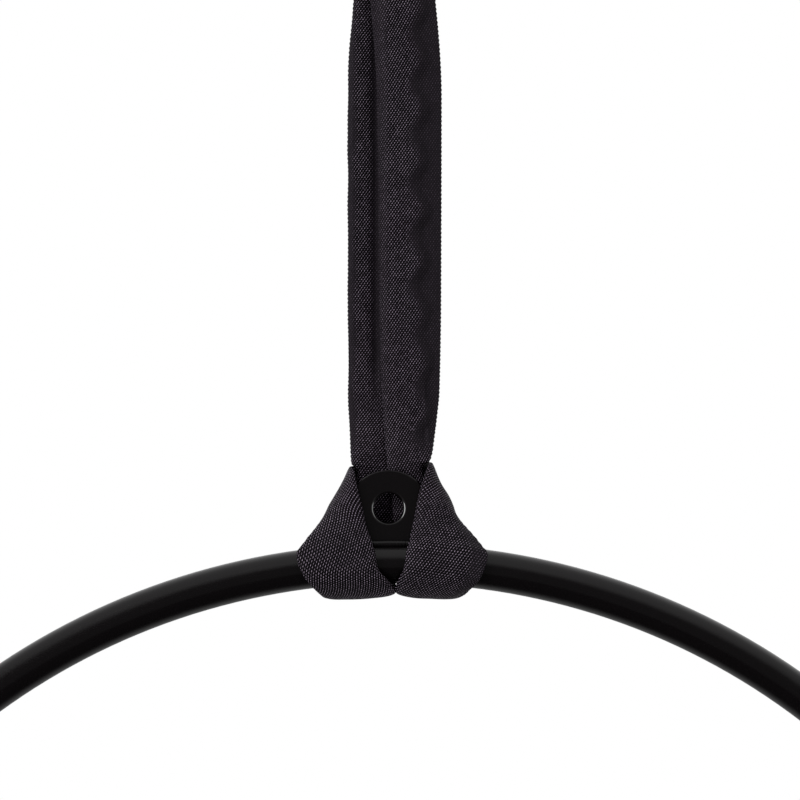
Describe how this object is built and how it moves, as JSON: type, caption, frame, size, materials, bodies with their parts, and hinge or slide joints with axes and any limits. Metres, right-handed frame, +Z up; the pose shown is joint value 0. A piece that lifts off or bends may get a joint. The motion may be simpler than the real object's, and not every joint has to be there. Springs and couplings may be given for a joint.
{
  "type": "aerial hoop with hanging sling",
  "caption": "Steel hoop with a welded hanging tab, girth-hitched in a padded round sling that hangs from a screw-gate connector.",
  "frame": {"origin": "the hang point: the inside of the connector's upper bow", "axes": "+Z up, +X to the right across the hoop with the connector's gate on that side, -Y towards the viewer of the picture"},
  "size_m": [0.9, 0.0532, 1.4133],
  "materials": {
    "gloss_coat": "gloss black coat",
    "raw_steel": "bare steel",
    "zinc_steel": "zinc-plated steel",
    "sleeve_fabric": "black woven polyester",
    "core_yarn": "undyed polyester yarn"
  },
  "bodies": {
    "connector": {"connector_frame": "zinc_steel", "connector_hinge_pin": "raw_steel"},
    "gate": {"connector_gate": "zinc_steel", "connector_latch_pin": "raw_steel", "connector_plunger": "raw_steel", "connector_spring": "raw_steel"},
    "lock": {"connector_lock_sleeve": "zinc_steel"},
    "sling_turn": {"sling_bight_sleeve": "sleeve_fabric", "sling_bight_core": "core_yarn"},
    "upper_sling": {"sling_neck_front_sleeve": "sleeve_fabric", "sling_neck_front_core": "core_yarn", "sling_neck_rear_sleeve": "sleeve_fabric", "sling_neck_rear_core": "core_yarn", "sling_upper_front_sleeve": "sleeve_fabric", "sling_upper_front_core": "core_yarn", "sling_upper_rear_sleeve": "sleeve_fabric", "sling_upper_rear_core": "core_yarn", "sling_join_patch": "sleeve_fabric"},
    "lower_sling": {"sling_lower_front_sleeve": "sleeve_fabric", "sling_lower_front_core": "core_yarn", "sling_lower_rear_sleeve": "sleeve_fabric", "sling_lower_rear_core": "core_yarn", "sling_choke_neck_front_sleeve": "sleeve_fabric", "sling_choke_neck_front_core": "core_yarn", "sling_choke_neck_rear_sleeve": "sleeve_fabric", "sling_choke_neck_rear_core": "core_yarn"},
    "hoop": {"sling_wrap_left_sleeve": "sleeve_fabric", "sling_wrap_left_core": "core_yarn", "sling_wrap_right_sleeve": "sleeve_fabric", "sling_wrap_right_core": "core_yarn", "sling_choke_band_sleeve": "sleeve_fabric", "sling_choke_band_core": "core_yarn", "hoop_tube": "gloss_coat", "hoop_spigot": "raw_steel", "hoop_butt_weld": "gloss_coat", "tab": "gloss_coat", "tab_weld": "gloss_coat"}
  },
  "joints": [
    {"name": "gate_hinge", "type": "hinge", "parent": "connector", "child": "gate", "pos_m": [0.03, 0, -0.0285], "axis": [0, 1, 0], "range_deg": [0, 25], "stiffness_Nm_per_rad": 0.05, "springref_deg": -17.19, "deforming": ["connector_spring", "connector_plunger"]},
    {"name": "lock_slide", "type": "slide", "parent": "gate", "child": "lock", "axis": [0, 0, -1], "range_m": [0, 0.01]},
    {"name": "sling_sway", "type": "hinge", "parent": "connector", "child": "sling_turn", "pos_m": [0, 0, -0.07], "axis": [0, 1, 0], "range_deg": [-20, 20]},
    {"name": "sling_swing", "type": "hinge", "parent": "sling_turn", "child": "upper_sling", "pos_m": [0, 0, -0.112], "axis": [1, 0, 0], "range_deg": [-45, 45], "deforming": ["sling_neck_front_sleeve", "sling_neck_front_core", "sling_neck_rear_sleeve", "sling_neck_rear_core"]},
    {"name": "sling_twist", "type": "hinge", "parent": "upper_sling", "child": "lower_sling", "pos_m": [0, 0.006, -0.2807], "axis": [0, 0, 1], "range_deg": [-180, 180]},
    {"name": "hoop_tilt", "type": "hinge", "parent": "lower_sling", "child": "hoop", "pos_m": [0, 0, -0.4248], "axis": [1, 0, 0], "range_deg": [-60, 60], "deforming": ["sling_choke_neck_front_sleeve", "sling_choke_neck_front_core", "sling_choke_neck_rear_sleeve", "sling_choke_neck_rear_core"]}
  ]
}
